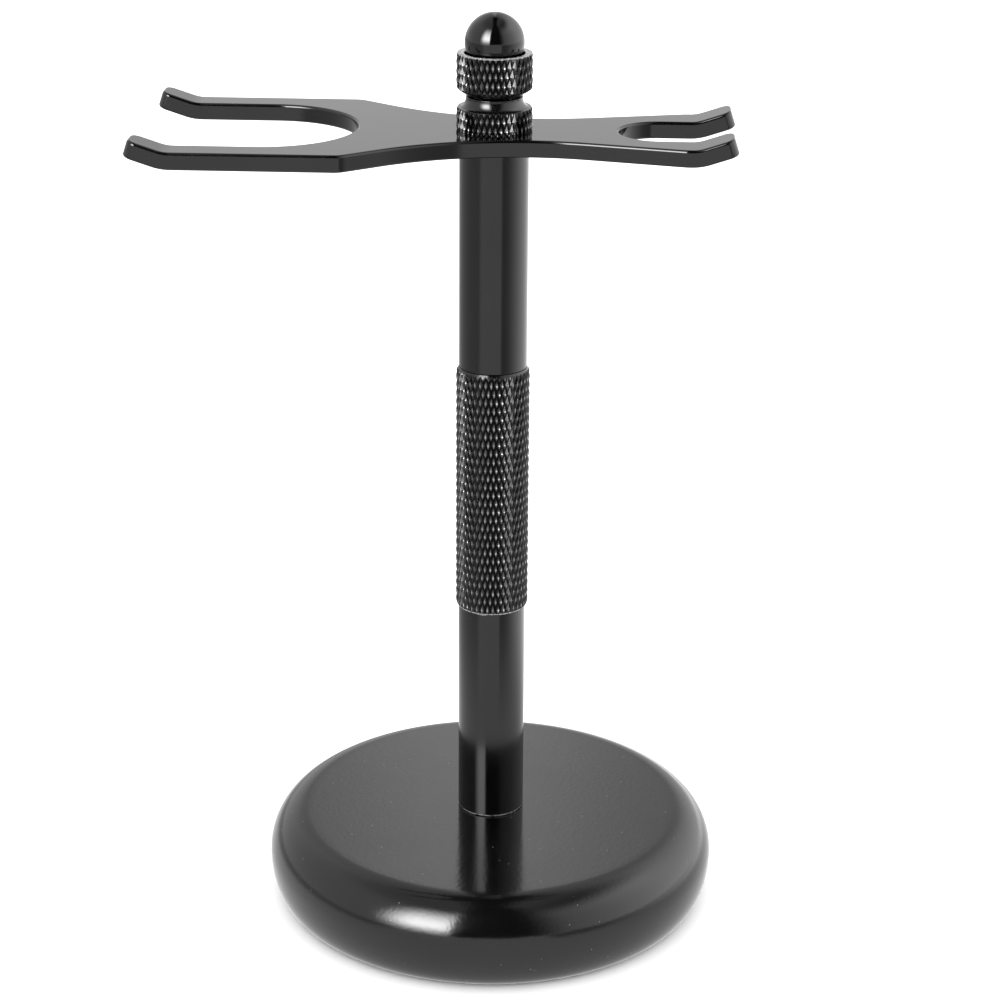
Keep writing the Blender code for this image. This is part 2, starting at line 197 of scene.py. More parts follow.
# Sprayed, dipped or plated finish. Colour: dark and light mixed by slow patches. Roughness: its
# middle value, raised and lowered by other slow patches and by fine grain. Height: orange peel,
# which is soft noise a few tenths wide, plus fine grain, plus dust, which is the cores of sparse
# cells. Chip-and-glint bands are heights where the colour turns lighter in speckles: painted
# glints, with chipped paint as well at the tube's foot. On knurls only, crests turn lighter and
# metallic in patches: rubbed metal with a painted highlight.
def coatedFinish(name, look):
    material, tree, shader, place = startMaterial(name)
    patches = noiseNode(tree, place, look["patchSize"], 3.0)
    grain = noiseNode(tree, place, look["grainSize"], 2.0, 0.6)
    peel = noiseNode(tree, place, look["peelSize"], 1.0, 0.4)
    color = blendNode(tree, rampNode(tree, patches, 0.35, 0.65, 0.0, 1.0), look["dark"], look["light"])
    slow = rampNode(tree, noiseNode(tree, place, look["patchSize"] * 0.6, 2.0), 0.3, 0.7,
                    look["roughness"] - look["roughnessSwing"], look["roughness"] + look["roughnessSwing"])
    fine = rampNode(tree, grain, 0.3, 0.7, -look["grainRoughness"], look["grainRoughness"])
    tree.links.new(mathNode(tree, "ADD", slow, fine), shader.inputs["Roughness"])
    height = mathNode(tree, "MULTIPLY_ADD", peel, look["peelHeight"],
                      mathNode(tree, "MULTIPLY", grain, look["grainHeight"]))
    if look.get("dustSpacing"):
        cells = addNode(tree, "ShaderNodeTexVoronoi",
                        {"Vector": place, "Scale": 1 / (look["dustSpacing"] * mm)})
        picked = rampNode(tree, cells.outputs["Color"], look["dustKept"], look["dustKept"] + 0.02, 1.0, 0.0)
        core = rampNode(tree, cells.outputs["Distance"], 0.3 * look["dustSize"] / look["dustSpacing"],
                        look["dustSize"] / look["dustSpacing"], 1.0, 0.0, True)
        dust = mathNode(tree, "MULTIPLY", core, picked)
        height = mathNode(tree, "MULTIPLY_ADD", dust, look["dustHeight"], height)
        color = blendNode(tree, dust, color, look["dustColor"])
    level = addNode(tree, "ShaderNodeSeparateXYZ", {0: place}).outputs[2]
    # bands at given heights turn lighter in speckles: painted glints, at the tube's foot with chipped paint
    # as well
    for low, high in look.get("chipAndGlintBands", []):
        above = rampNode(tree, level, (low - 0.03) * mm, (low + 0.03) * mm, 0.0, 1.0)
        below = rampNode(tree, level, (high - 0.03) * mm, (high + 0.03) * mm, 1.0, 0.0)
        speckles = rampNode(tree, noiseNode(tree, place, look["chipAndGlintSize"]), *look["chipAndGlintSpread"], 0.1, 1.0)
        chipAndGlint = mathNode(tree, "MULTIPLY", mathNode(tree, "MULTIPLY", above, below), speckles)
        color = blendNode(tree, chipAndGlint, color, look["chipAndGlintColor"])
    if look.get("crestRubAndHighlightColor"):
        # crests are close under the full radius, which is the grip's low on the stand and the ring's high up;
        # there patches turn lighter and metallic: rubbed metal with a painted highlight
        lowRadius, highRadius = (turnedSize(node)[0] for node in ("grip_sleeve", "finial_ring"))
        flatPlace = addNode(tree, "ShaderNodeVectorMath", {0: place, 1: (1, 1, 0)}, operation="MULTIPLY")
        reach = addNode(tree, "ShaderNodeVectorMath", {0: flatPlace.outputs[0]}, operation="LENGTH")
        full = rampNode(tree, level, 100 * mm, 110 * mm, lowRadius * mm, highRadius * mm)
        under = mathNode(tree, "SUBTRACT", full, reach.outputs["Value"])
        crest = rampNode(tree, under, look["crestDepth"] * 0.3 * mm, look["crestDepth"] * mm, 1.0, 0.0)
        rubAndHighlight = rampNode(tree, noiseNode(tree, place, look["crestPatch"]), 0.35, 0.6, 0.35, 1.0)
        color = blendNode(tree, mathNode(tree, "MULTIPLY", crest, rubAndHighlight), color, look["crestRubAndHighlightColor"])
        tree.links.new(crest, shader.inputs["Metallic"])
    tree.links.new(color, shader.inputs["Base Color"])
    bump = addNode(tree, "ShaderNodeBump", {"Strength": 1.0, "Distance": mm, "Height": height})
    tree.links.new(bump.outputs["Normal"], shader.inputs["Normal"])
    shader.inputs["Metallic"].default_value = look.get("metallic", 0.0)
    shader.inputs["IOR"].default_value = 1.5
    return material


baseEnamelLook = {
    "dark": (0.0012, 0.0012, 0.0013), "light": (0.0022, 0.0022, 0.0023),
    "roughness": 0.13, "roughnessSwing": 0.02, "grainRoughness": 0.02,
    "patchSize": 14.0, "peelSize": 0.55, "peelHeight": 0.009, "grainSize": 0.16, "grainHeight": 0.0006,
    "dustSpacing": 1.0, "dustKept": 0.20, "dustSize": 0.14, "dustHeight": 0.006,
    "dustColor": (0.10, 0.10, 0.10),
}
plateEnamelLook = {
    "dark": (0.0012, 0.0012, 0.0013), "light": (0.0024, 0.0024, 0.0025),
    "roughness": 0.10, "roughnessSwing": 0.02, "grainRoughness": 0.015,
    "patchSize": 9.0, "peelSize": 0.7, "peelHeight": 0.002, "grainSize": 0.14, "grainHeight": 0.0006,
}
tubeSatinLook = {
    "dark": (0.0012, 0.0012, 0.0013), "light": (0.0020, 0.0020, 0.0021),
    "roughness": 0.14, "roughnessSwing": 0.015, "grainRoughness": 0.01,
    "patchSize": 8.0, "peelSize": 0.9, "peelHeight": 0.0015, "grainSize": 0.12, "grainHeight": 0.0003,
    # painted glint with chipped paint: a lighter speckled ring at the tube's foot, where it meets the base
    "chipAndGlintBands": [(14.0, 14.32)],
    "chipAndGlintSize": 0.22, "chipAndGlintSpread": (0.42, 0.54), "chipAndGlintColor": (0.26, 0.26, 0.26),
}
knurledBlackLook = {
    "dark": (0.0012, 0.0012, 0.0013), "light": (0.0026, 0.0026, 0.0027),
    "roughness": 0.15, "roughnessSwing": 0.03, "grainRoughness": 0.04,
    "patchSize": 5.0, "peelSize": 0.5, "peelHeight": 0.003, "grainSize": 0.08, "grainHeight": 0.001,
    # painted glints: lighter speckled bands at the grip's foot and on the ring's top face
    "chipAndGlintBands": [(47.8, 48.04), (131.6, 131.8)],
    "chipAndGlintSize": 0.4, "chipAndGlintSpread": (0.30, 0.55), "chipAndGlintColor": (0.30, 0.30, 0.30),
    # crests lighter and metallic in patches: rubbed metal with a painted highlight
    "crestDepth": 0.13, "crestPatch": 0.9, "crestRubAndHighlightColor": (0.38, 0.38, 0.38),
}
ballGlossLook = {
    "dark": (0.0012, 0.0012, 0.0013), "light": (0.0020, 0.0020, 0.0021),
    "roughness": 0.08, "roughnessSwing": 0.015, "grainRoughness": 0.01,
    "patchSize": 5.0, "peelSize": 0.9, "peelHeight": 0.003, "grainSize": 0.1, "grainHeight": 0.0003,
}
padRubberLook = {
    "dark": (0.016, 0.016, 0.016), "light": (0.030, 0.030, 0.029),
    "roughness": 0.72, "roughnessSwing": 0.06, "grainRoughness": 0.08,
    "patchSize": 6.0, "peelSize": 0.6, "peelHeight": 0.06, "grainSize": 0.15, "grainHeight": 0.03,
}
zincSteelLook = {
    "dark": (0.42, 0.43, 0.45), "light": (0.60, 0.61, 0.62), "metallic": 1.0,
    "roughness": 0.34, "roughnessSwing": 0.06, "grainRoughness": 0.06,
    "patchSize": 2.5, "peelSize": 0.4, "peelHeight": 0.004, "grainSize": 0.08, "grainHeight": 0.002,
}
insertBrassLook = {
    "dark": (0.50, 0.36, 0.15), "light": (0.72, 0.56, 0.28), "metallic": 1.0,
    "roughness": 0.32, "roughnessSwing": 0.06, "grainRoughness": 0.05,
    "patchSize": 3.0, "peelSize": 0.4, "peelHeight": 0.004, "grainSize": 0.08, "grainHeight": 0.002,
}
washerNylonLook = {
    "dark": (0.62, 0.61, 0.56), "light": (0.74, 0.73, 0.69),
    "roughness": 0.48, "roughnessSwing": 0.05, "grainRoughness": 0.05,
    "patchSize": 2.0, "peelSize": 0.5, "peelHeight": 0.006, "grainSize": 0.1, "grainHeight": 0.002,
}
finishes = {
    "base_enamel": coatedFinish("baseEnamel", baseEnamelLook),
    "plate_enamel": coatedFinish("plateEnamel", plateEnamelLook),
    "tube_satin": coatedFinish("tubeSatin", tubeSatinLook),
    "knurled_black": coatedFinish("knurledBlack", knurledBlackLook),
    "ball_gloss": coatedFinish("ballGloss", ballGlossLook),
    "pad_rubber": coatedFinish("padRubber", padRubberLook),
    "zinc_steel": coatedFinish("zincSteel", zincSteelLook),
    "insert_brass": coatedFinish("insertBrass", insertBrassLook),
    "washer_nylon": coatedFinish("washerNylon", washerNylonLook),
}
print("finishes: %d" % len(finishes))


knurlCut = {
    "grooves": 40,       # each way round
    "lead": 2.61,        # height of one diamond
    "depth": 0.36,
    "crestFlat": 0.08,   # share of the depth that is rolled off the crests
    "fineness": 4,       # even, grid steps in half a diamond
}


# Knurled wall between two plain stretches. Two families of grooves lean equally to both sides:
# with u, v = grooves * a / full turn +- z / lead, a groove is |2 frac(u) - 1|, deepest at whole
# numbers, and the cut is the deeper of the two. The wall keeps the smaller of the knurled and the
# turned radius, so chamfers cut the diamonds off. Each square is split along its groove.
def knurledPiece(name, above, wall, below, body, slotName, standsFor):
    fine, lead = knurlCut["fineness"], knurlCut["lead"]
    columns = 2 * fine * knurlCut["grooves"]
    step = lead / (2 * fine)
    wallTop, wallBottom = wall[0][1], wall[-1][1]
    wallHeight = np.append(np.arange(wallTop, wallBottom + step * 0.3, -step), wallBottom)
    turned = np.interp(-wallHeight, -np.array([z for r, z in wall]), [r for r, z in wall])
    crest = max(r for r, z in wall)
    across = knurlCut["grooves"] * np.arange(columns) / columns
    along = (wallTop - wallHeight[:, None]) / lead
    cuts = [np.abs(2 * ((across + side * along) % 1) - 1) for side in (1, -1)]
    flat = knurlCut["crestFlat"]
    deep = (np.maximum(np.maximum(*cuts), flat) - flat) / (1 - flat)
    wallRadius = np.minimum(turned[:, None], crest - knurlCut["depth"] * deep)
    above, below = np.array(above, float), np.array(below, float)
    spread = np.ones((1, columns))
    radius = np.concatenate([above[:, :1] * spread, wallRadius, below[:, :1] * spread])
    height = np.concatenate([above[:, 1], wallHeight, below[:, 1]])
    points, quads, fans = turnedGrid(radius, height, columns)
    row = np.arange(len(quads))[:, None] - len(above)
    column = np.arange(columns)
    leansBack = ((row + column + 1) % fine == 0)[..., None]
    a, b, c, d = (quads[..., k] for k in range(4))
    firstHalf = np.where(leansBack, np.stack([a, b, d], -1), np.stack([a, b, c], -1))
    secondHalf = np.where(leansBack, np.stack([b, c, d], -1), np.stack([a, c, d], -1))
    triangles = np.stack([firstHalf, secondHalf], 2).reshape(-1, 3)
    onWall = (row >= -1) & (row < len(wallHeight) + 1)
    smooth = np.repeat(np.broadcast_to(~onWall, quads.shape[:2]).ravel(), 2)
    return addPiece(name, points, [triangles], body, finishes[slotName], standsFor, smooth)


threadCut = {"pitch": 0.8, "depth": 0.4, "rowsPerPitch": 8, "columns": 48,
             "keyRadius": 1.25, "keyDepth": 1.6}     # hexagon socket


# Threaded stud with a hexagon socket. Thread: the radius falls by depth * |2 frac(p) - 1| with
# p = z / pitch - a / full turn, under a chamfer of 45 degrees at both ends. Socket: the hexagon's
# radius at angle a is its flat distance over the cosine of the angle to the nearest flat.
def threadedStud(name, node):
    radius, bottom, top = turnedSize(node)
    columns, pitch = threadCut["columns"], threadCut["pitch"]
    angle = np.arange(columns) * turn / columns
    wallHeight = np.linspace(top, bottom, int((top - bottom) / pitch * threadCut["rowsPerPitch"]) + 1)
    phase = wallHeight[:, None] / pitch - angle / turn
    threaded = radius - threadCut["depth"] * np.abs(2 * (phase % 1) - 1)
    fromEnd = np.minimum(top - wallHeight, wallHeight - bottom)[:, None]
    wallRadius = np.minimum(threaded, radius - threadCut["depth"] - 0.05 + fromEnd)
    hexagon = threadCut["keyRadius"] * math.cos(turn / 12) / np.cos(angle % (turn / 6) - turn / 12)
    zero = np.zeros((1, columns))
    keyFloor = top - threadCut["keyDepth"]
    radii = np.concatenate([zero, hexagon[None], hexagon[None], wallRadius, zero])
    heights = np.concatenate([[keyFloor, keyFloor, top], wallHeight, [bottom]])
    points, quads, fans = turnedGrid(radii, heights, columns)
    faces = [quads.reshape(-1, 4)] + fans
    smooth = np.zeros(sum(len(rows) for rows in faces), bool)
    return addPiece(name, points, faces, "post", finishes["zinc_steel"], [node], smooth)


# Plain turned piece from a profile of (r, z) rows that runs down its outer side.
def turnedPiece(name, profile, columns, body, slotName, standsFor):
    points, quads, fans = turnedGrid(profile[:, :1], profile[:, 1], columns)
    return addPiece(name, points, [quads.reshape(-1, 4)] + fans, body,
                    finishes[slotName], standsFor)


# Profile of a closed ring: corners (r, z, fillet) in order, the last side leading back to the first.
def closedProfile(corners, steps=6):
    middle = [(corners[0][0] + corners[-1][0]) / 2, (corners[0][1] + corners[-1][1]) / 2, 0]
    return roundedPath([middle] + corners + [middle], steps)[:-1]


baseShape = {
    "topFlat": 28.3,       # radius where the flat top starts to fall away
    "widestHeight": 7.25,
    "bottomFlat": 31.1,
    "recessEdge": 0.3,     # clearance round the pad
    "wellRadius": 6.8,
    "wellTop": 7.2,
    "hole": 2.65,
    "columns": 288,
}


def makeBase():
    s = baseShape
    radius, bottom, top = turnedSize("base_weight")
    padRadius, padBottom, padTop = turnedSize("base_pad")
    widest, hole = s["widestHeight"], s["hole"]
    recess = padRadius + s["recessEdge"]
    ceiling = padTop + s["recessEdge"]
    topFlat = np.stack([np.linspace(hole, s["topFlat"], 24), np.full(24, top)], -1)
    shoulder = ellipseArc((s["topFlat"], widest), (radius - s["topFlat"], top - widest), 90, 0, 40)
    foot = ellipseArc((s["bottomFlat"], widest), (radius - s["bottomFlat"], widest - bottom), 0, -90, 32)
    under = roundedPath([
        (s["bottomFlat"] - 0.5, bottom, 0),
        (recess, bottom, 0.25),
        (recess, ceiling, 0.2),
        (s["wellRadius"], ceiling, 0.2),
        (s["wellRadius"], s["wellTop"], 0.2),
        (hole, s["wellTop"], 0.1),
        (hole, top - 0.5, 0),
    ], 5)
    profile = np.concatenate([topFlat, shoulder[1:], foot[1:], under])
    turnedPiece("baseShell", profile, s["columns"], "post", "base_enamel", ["base_weight"])


padShape = {
    "topEdge": 0.2,
    "bottomEdge": 0.45,
    "columns": 192,
}


def makePad():
    radius, bottom, top = turnedSize("base_pad")
    profile = roundedPath([(0, top, 0), (radius, top, padShape["topEdge"]),
                           (radius, bottom, padShape["bottomEdge"]), (0, bottom, 0)])
    turnedPiece("padDisc", profile, padShape["columns"], "post", "pad_rubber", ["base_pad"])


tubeShape = {
    "bore": 4.0,
    "edge": 0.18,          # rounding of the tube's outer edges
    "boreEdge": 0.1,
    "seat": 0.03,          # gap left where a tube meets its neighbour
    "columns": 192,
}


# A tube is drawn out into the CAD gaps at its ends, so that it meets its neighbours.
def makeTube(name, node, bottom, top):
    radius = turnedSize(node)[0]
    bore, edge, boreEdge = tubeShape["bore"], tubeShape["edge"], tubeShape["boreEdge"]
    profile = closedProfile([(bore, top, boreEdge), (radius, top, edge),
                             (radius, bottom, edge), (bore, bottom, boreEdge)])
    turnedPiece(name, profile, tubeShape["columns"], "post", "tube_satin", [node])


gripShape = {
    "bore": 2.65,
    "bandTop": 5.03,       # smooth band above the knurl, a slight cone
    "bandFoot": 5.13,
    "bandHeight": 0.30,
    "footRadius": 5.2,
    "footHeight": 0.6,
}


def makeGrip():
    s = gripShape
    radius, bottom, top = turnedSize("grip_sleeve")
    bandTop, bandFoot = s["bandTop"], s["bandFoot"]
    bandBottom = top - s["bandHeight"]
    above = [(s["bore"], top), (bandTop - 0.06, top), (bandTop - 0.02, top), (bandTop, top - 0.02),
             (bandFoot, bandBottom)]
    wall = [(bandFoot + 0.001, bandBottom - 0.001), (radius, bandBottom - (radius - bandFoot)),
            (radius, bottom + s["footHeight"]), (s["footRadius"], bottom)]
    below = [(s["footRadius"] - 0.1, bottom), (s["bore"], bottom)]
    knurledPiece("gripSleeve", above, wall, below, "post", "knurled_black", ["grip_sleeve"])


def makePost():
    baseTop = turnedSize("base_weight")[2]
    gripBottom, gripTop = turnedSize("grip_sleeve")[1:]
    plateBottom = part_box("fork_plate")[0].z / mm
    seat = tubeShape["seat"]
    makeTube("lowerTube", "lower_tube", baseTop + seat, gripBottom - seat)
    makeTube("upperTube", "upper_tube", gripTop + seat, plateBottom - seat)
    makeGrip()
    for name, node in (("gripLowerStud", "grip_lower_stud"), ("gripUpperStud", "grip_upper_stud"),
                       ("forkStud", "fork_stud")):
        threadedStud(name, node)


forkShape = {
    "thickness": 2.5,
    "fillet": 0.40,        # rounding along every edge
    "flatHem": 0.06,       # flat strip beside the rounding, keeps the faces' shading flat
    "hole": 2.65,
    "brushTip": 6.5,       # length of a tip beyond its bend, along the plate
    "brushBend": -43.7,
    "brushSlotEnd": -19.5,
    "brushSlotHalf": 13.0,
    "brushHalf": 17.85,
    "brushShoulder": -20.4,
    "waistX": -2.2,
    "waistHalf": 4.3,
    "waistArc": 34.0,
    "razorShoulder": 27.2,
    "razorHalf": 11.45,
    "razorSlotHalf": 5.85,
    "razorSlotEnd": 17.7,
    "razorBend": 27.9,
    "razorTip": 6.45,
    "shoulderArc": 3.0,
    "tipCorner": 1.4,
    "bendArc": 7.0,
    "bendAngle": 18.3,
    "acrossSteps": 8,
    "pathSteps": 400,      # to each arc of the outline
}


# Places along the plate where a column of points stands: close together where an edge is round.
def forkStations(brushEnd, razorEnd):
    s = forkShape
    quarter = np.linspace(0, math.pi / 2, 11)
    corner = s["tipCorner"] * (1 - np.cos(quarter))
    bend = np.linspace(0, s["bendArc"] * math.radians(s["bendAngle"]), 15)
    brushArc = s["brushSlotEnd"] - s["brushSlotHalf"]
    razorArc = s["razorSlotEnd"] + s["razorSlotHalf"]
    clear = 2 * s["fillet"]
    parts = [
        brushEnd + corner,
        np.linspace(brushEnd + s["tipCorner"], s["brushBend"] - bend[-1], 6),
        s["brushBend"] - bend,
        np.linspace(s["brushBend"], brushArc, 10),
        brushArc + s["brushSlotHalf"] * np.sin(np.linspace(0, math.pi / 2, 31)),
        np.linspace(s["brushSlotEnd"] + clear, -s["hole"], 24),
        -s["hole"] * np.cos(np.linspace(0, math.pi, 25)),
        np.linspace(s["hole"], s["razorSlotEnd"] - clear, 24),
        razorArc - s["razorSlotHalf"] * np.cos(np.linspace(0, math.pi / 2, 21)),
        np.linspace(razorArc, s["razorBend"], 22),
        s["razorBend"] + bend,
        np.linspace(s["razorBend"] + bend[-1], razorEnd - s["tipCorner"], 6),
        razorEnd - corner,
    ]
    places = np.sort(np.concatenate(parts))
    return places[np.append(True, np.diff(places) > 1e-4)]


# Height and outward arrow of a path at the given places along it, from close points on the path.
def readPath(path, places, outward):
    middle = (path[1:] + path[:-1]) / 2
    step = path[1:] - path[:-1]
    arrow = np.stack([-step[:, 1], step[:, 0]], -1) * outward
    arrow /= np.linalg.norm(arrow, axis=1, keepdims=True)
    y = np.interp(places, path[:, 0], path[:, 1])
    normal = np.stack([np.interp(places, middle[:, 0], arrow[:, k]) for k in (0, 1)], -1)
    return np.stack([places, y], -1), normal / np.linalg.norm(normal, axis=1, keepdims=True)


# Where a point of the flat plate goes when the tips are rolled up. Beyond the bend a point turns
# round an axis one arc radius above the plate's middle, and past the arc it runs straight on.
def rollTips(points):
    s = forkShape
    for start, side in ((s["brushBend"], -1), (s["razorBend"], 1)):
        beyond = np.maximum((points[:, 0] - start) * side, 0)
        angle = np.minimum(beyond / s["bendArc"], math.radians(s["bendAngle"]))
        straight = beyond - angle * s["bendArc"]
        arm = s["bendArc"] - points[:, 2]
        rolled = np.stack([start + side * (arm * np.sin(angle) + straight * np.cos(angle)), points[:, 1],
                           s["bendArc"] - arm * np.cos(angle) + straight * np.sin(angle)], -1)
        points = np.where((beyond > 0)[:, None], rolled, points)
    return points


# Blade of the fork. Half of it is a strip: a column of points at each station, laid evenly from
# the inner side (slot, middle line, hole) to the outer side. Both faces are that strip, set in by
# the fillet and a narrow hem. The edge is a second strip: rings that leave the face, cross the hem,
# run round the fillet by (sin, 1 - cos), down the wall and round the lower fillet. The other half
# is its mirror image.
def makeFork():
    s = forkShape
    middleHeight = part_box("fork_plate")[0].z / mm + s["thickness"] / 2
    brushEnd, razorEnd = s["brushBend"] - s["brushTip"], s["razorBend"] + s["razorTip"]
    places = forkStations(brushEnd, razorEnd)
    corner = s["tipCorner"]
    outer = roundedPath([
        (brushEnd, s["brushHalf"] - corner - 1, 0),
        (brushEnd, s["brushHalf"], corner),
        (s["brushShoulder"], s["brushHalf"], s["shoulderArc"]),
        (s["waistX"], s["waistHalf"], s["waistArc"]),
        (s["razorShoulder"], s["razorHalf"], s["shoulderArc"]),
        (razorEnd, s["razorHalf"], corner),
        (razorEnd, s["razorHalf"] - corner - 1, 0),
    ], s["pathSteps"], 1e-4)
    brushInner = roundedPath([
        (brushEnd, s["brushSlotHalf"] + corner + 1, 0),
        (brushEnd, s["brushSlotHalf"], corner),
        (s["brushSlotEnd"], s["brushSlotHalf"], s["brushSlotHalf"]),
        (s["brushSlotEnd"], -1, 0),
    ], s["pathSteps"], 1e-4)
    razorInner = roundedPath([
        (s["razorSlotEnd"], -1, 0),
        (s["razorSlotEnd"], s["razorSlotHalf"], s["razorSlotHalf"]),
        (razorEnd, s["razorSlotHalf"], corner),
        (razorEnd, s["razorSlotHalf"] + corner + 1, 0),
    ], s["pathSteps"], 1e-4)
    outerSpots, outerArrows = readPath(outer[2:-2], places, 1)
    innerSpots = np.stack([places, np.zeros(len(places))], -1)
    innerArrows = np.zeros((len(places), 2))
    onBrush, onRazor = places <= s["brushSlotEnd"] + 1e-3, places >= s["razorSlotEnd"] - 1e-3
    onHole = np.abs(places) <= s["hole"] + 1e-3
    innerSpots[onBrush], innerArrows[onBrush] = readPath(brushInner[2:-2], places[onBrush], -1)
    innerSpots[onRazor], innerArrows[onRazor] = readPath(razorInner[2:-2], places[onRazor], -1)
    innerSpots[onHole, 1] = np.sqrt(np.maximum(s["hole"] ** 2 - places[onHole] ** 2, 0))
    for arrows in (outerArrows, innerArrows):
        arrows[0], arrows[-1] = (-1, 0), (1, 0)
    brushRow, razorRow = np.flatnonzero(onBrush)[-1], np.flatnonzero(onRazor)[0]
    innerArrows[brushRow], innerArrows[razorRow] = (-1, 0), (1, 0)
    innerSpots[brushRow], innerSpots[razorRow] = (s["brushSlotEnd"], 0), (s["razorSlotEnd"], 0)
    fillet, flat, half = s["fillet"], s["flatHem"], s["thickness"] / 2
    innerSet = innerSpots - innerArrows * (fillet + flat)
    outerSet = outerSpots - outerArrows * (fillet + flat)
    # rows run square across the face, so the outer side is read again where the inner side stands
    spots, line = innerSet[:, 0], outerSet[:, 0]
    outerArrows = np.stack([np.interp(spots, line, outerArrows[:, k]) for k in (0, 1)], -1)
    outerArrows /= np.linalg.norm(outerArrows, axis=1, keepdims=True)
    outerSet = np.stack([spots, np.interp(spots, line, outerSet[:, 1])], -1)
    share = np.linspace(0, 1, s["acrossSteps"] + 1)
    face = innerSet[:, None] + (outerSet - innerSet)[:, None] * share[:, None]
    count, across = face.shape[:2]
    # edge path, as station and lane: up the brush slot, over the tip, along the outside, over the
    # other tip, down the razor slot
    lastLane = across - 1
    station = np.concatenate([np.arange(brushRow, -1, -1), np.zeros(across - 2, int), np.arange(count),
                              np.full(across - 2, count - 1), np.arange(count - 1, razorRow - 1, -1)])
    lane = np.concatenate([np.zeros(brushRow + 1, int), np.arange(1, lastLane), np.full(count, lastLane),
                           np.arange(lastLane - 1, 0, -1), np.zeros(count - razorRow, int)])
    arrows = np.where((lane == 0)[:, None], innerArrows[station], outerArrows[station])
    arrows[(lane > 0) & (station == 0)] = (-1, 0)
    arrows[(lane > 0) & (station == count - 1)] = (1, 0)
    quarter = np.linspace(0, math.pi / 2, 9)
    rounded = flat + fillet * np.sin(quarter)
    wallOut = flat + fillet
    out = np.concatenate([[0, flat / 2], rounded, [wallOut, wallOut], rounded[::-1], [flat / 2, 0]])
    level = half - fillet * (1 - np.cos(quarter))
    level = np.concatenate([[half, half], level, [half - fillet - 0.05, fillet + 0.05 - half],
                            -level[::-1], [-half, -half]])
    rings = face[station, lane] + out[:, None, None] * arrows
    rings = np.concatenate([rings, np.broadcast_to(level[:, None, None], (*rings.shape[:2], 1))], -1)
    holeEdge = innerSpots[np.flatnonzero(onHole)[::-1]]
    holeWall = np.stack([np.insert(holeEdge, 2, z, axis=1) for z in (half, -half)])
    topFace, bottomFace = (np.insert(face, 2, z, axis=2) for z in (half, -half))
    points, quads, used = [], [], 0
    for grid, flip in ((topFace, False), (bottomFace, True), (rings, True), (holeWall, True)):
        rows, columns = grid.shape[:2]
        first = used + np.arange(rows - 1)[:, None] * columns + np.arange(columns - 1)
        quad = np.stack([first, first + columns, first + columns + 1, first + 1], -1).reshape(-1, 4)
        points.append(grid.reshape(-1, 3))
        quads.append(quad[:, ::-1] if flip else quad)
        used += rows * columns
    points, quads = np.concatenate(points), np.concatenate(quads)
    points = np.concatenate([points, points * (1, -1, 1)])
    quads = np.concatenate([quads, quads[:, ::-1] + used])
    points = rollTips(points) + (0, 0, middleHeight)
    # points that fall together are made one, to a thousandth of a millimetre
    keys, firstUse, owner = np.unique(np.round(points * 1000).astype(np.int64), axis=0,
                                      return_index=True, return_inverse=True)
    quads = owner.reshape(-1)[quads]
    addPiece("forkBlade", points[firstUse], [quads], "fork",
             finishes["plate_enamel"], ["fork_plate"])


collarShape = {
    "bore": 2.65,
    "knurlTop": 2.9,       # above the plate
    "lipRadius": 5.25,
    "lipHeight": 0.3,
    "coveRadius": 5.0,     # where the cove leaves the collar's top
    "coveHeight": 1.6,
    "neckRadius": 4.05,
    "footChamfer": 0.2,
    "seat": 0.03,
}


def makeCollar():
    s = collarShape
    radius, top = turnedSize("finial_collar")[::2]
    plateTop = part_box("fork_plate")[0].z / mm + forkShape["thickness"]
    bottom, knurlTop = plateTop + s["seat"], plateTop + s["knurlTop"]
    lipTop = knurlTop + s["lipHeight"]
    cove = ellipseArc((s["coveRadius"], lipTop + s["coveHeight"]),
                      (s["coveRadius"] - s["neckRadius"], s["coveHeight"]), 180, 270, 20)
    above = np.concatenate([[(s["bore"], top), (s["neckRadius"] - 0.1, top), (s["neckRadius"], top - 0.1)],
                            cove, [(s["lipRadius"], lipTop)]])
    wall = [(s["lipRadius"] + 0.001, lipTop - 0.001), (radius, knurlTop), (radius, bottom + s["footChamfer"]),
            (radius - s["footChamfer"], bottom)]
    below = [(radius - s["footChamfer"] - 0.1, bottom), (s["bore"], bottom)]
    knurledPiece("finialCollar", above, wall, below, "finial_nut", "knurled_black", ["finial_collar"])


ringShape = {
    "bore": 2.65,
    "cupRadius": 4.33,
    "cupFloorRadius": 2.9,
    "cupWallFoot": 2.0,
    "cupGap": 0.3,         # between the cup's floor and the ball
    "rimEdge": 0.14,
    "shoulder": 1.2,       # height of the lower chamfer above the neck's end
    "footRadius": 4.05,
}


def makeRing():
    s = ringShape
    radius, bottom, top = turnedSize("finial_ring")
    neckTop = turnedSize("finial_collar")[2]
    ballRadius, ballBottom, ballTop = turnedSize("finial_ball")
    floor = ballTop - 2 * ballRadius - s["cupGap"]
    above = roundedPath([
        (s["bore"], bottom + 0.5, 0),
        (s["bore"], floor, 0.05),
        (s["cupFloorRadius"], floor, 0.2),
        (s["cupRadius"], floor + s["cupWallFoot"], 0.4),
        (s["cupRadius"], top, 0.1),
        (radius - s["rimEdge"], top, 0),
    ], 6)
    wall = [(radius - s["rimEdge"] + 0.001, top - 0.001), (radius, top - s["rimEdge"]),
            (radius, neckTop + s["shoulder"]), (s["footRadius"], bottom)]
    below = [(s["footRadius"] - 0.1, bottom), (s["bore"], bottom)]
    knurledPiece("finialRing", above, wall, below, "finial_nut", "knurled_black", ["finial_ring"])


ballShape = {"hole": 2.65, "holeTop": 131.9, "columns": 144, "rows": 96}


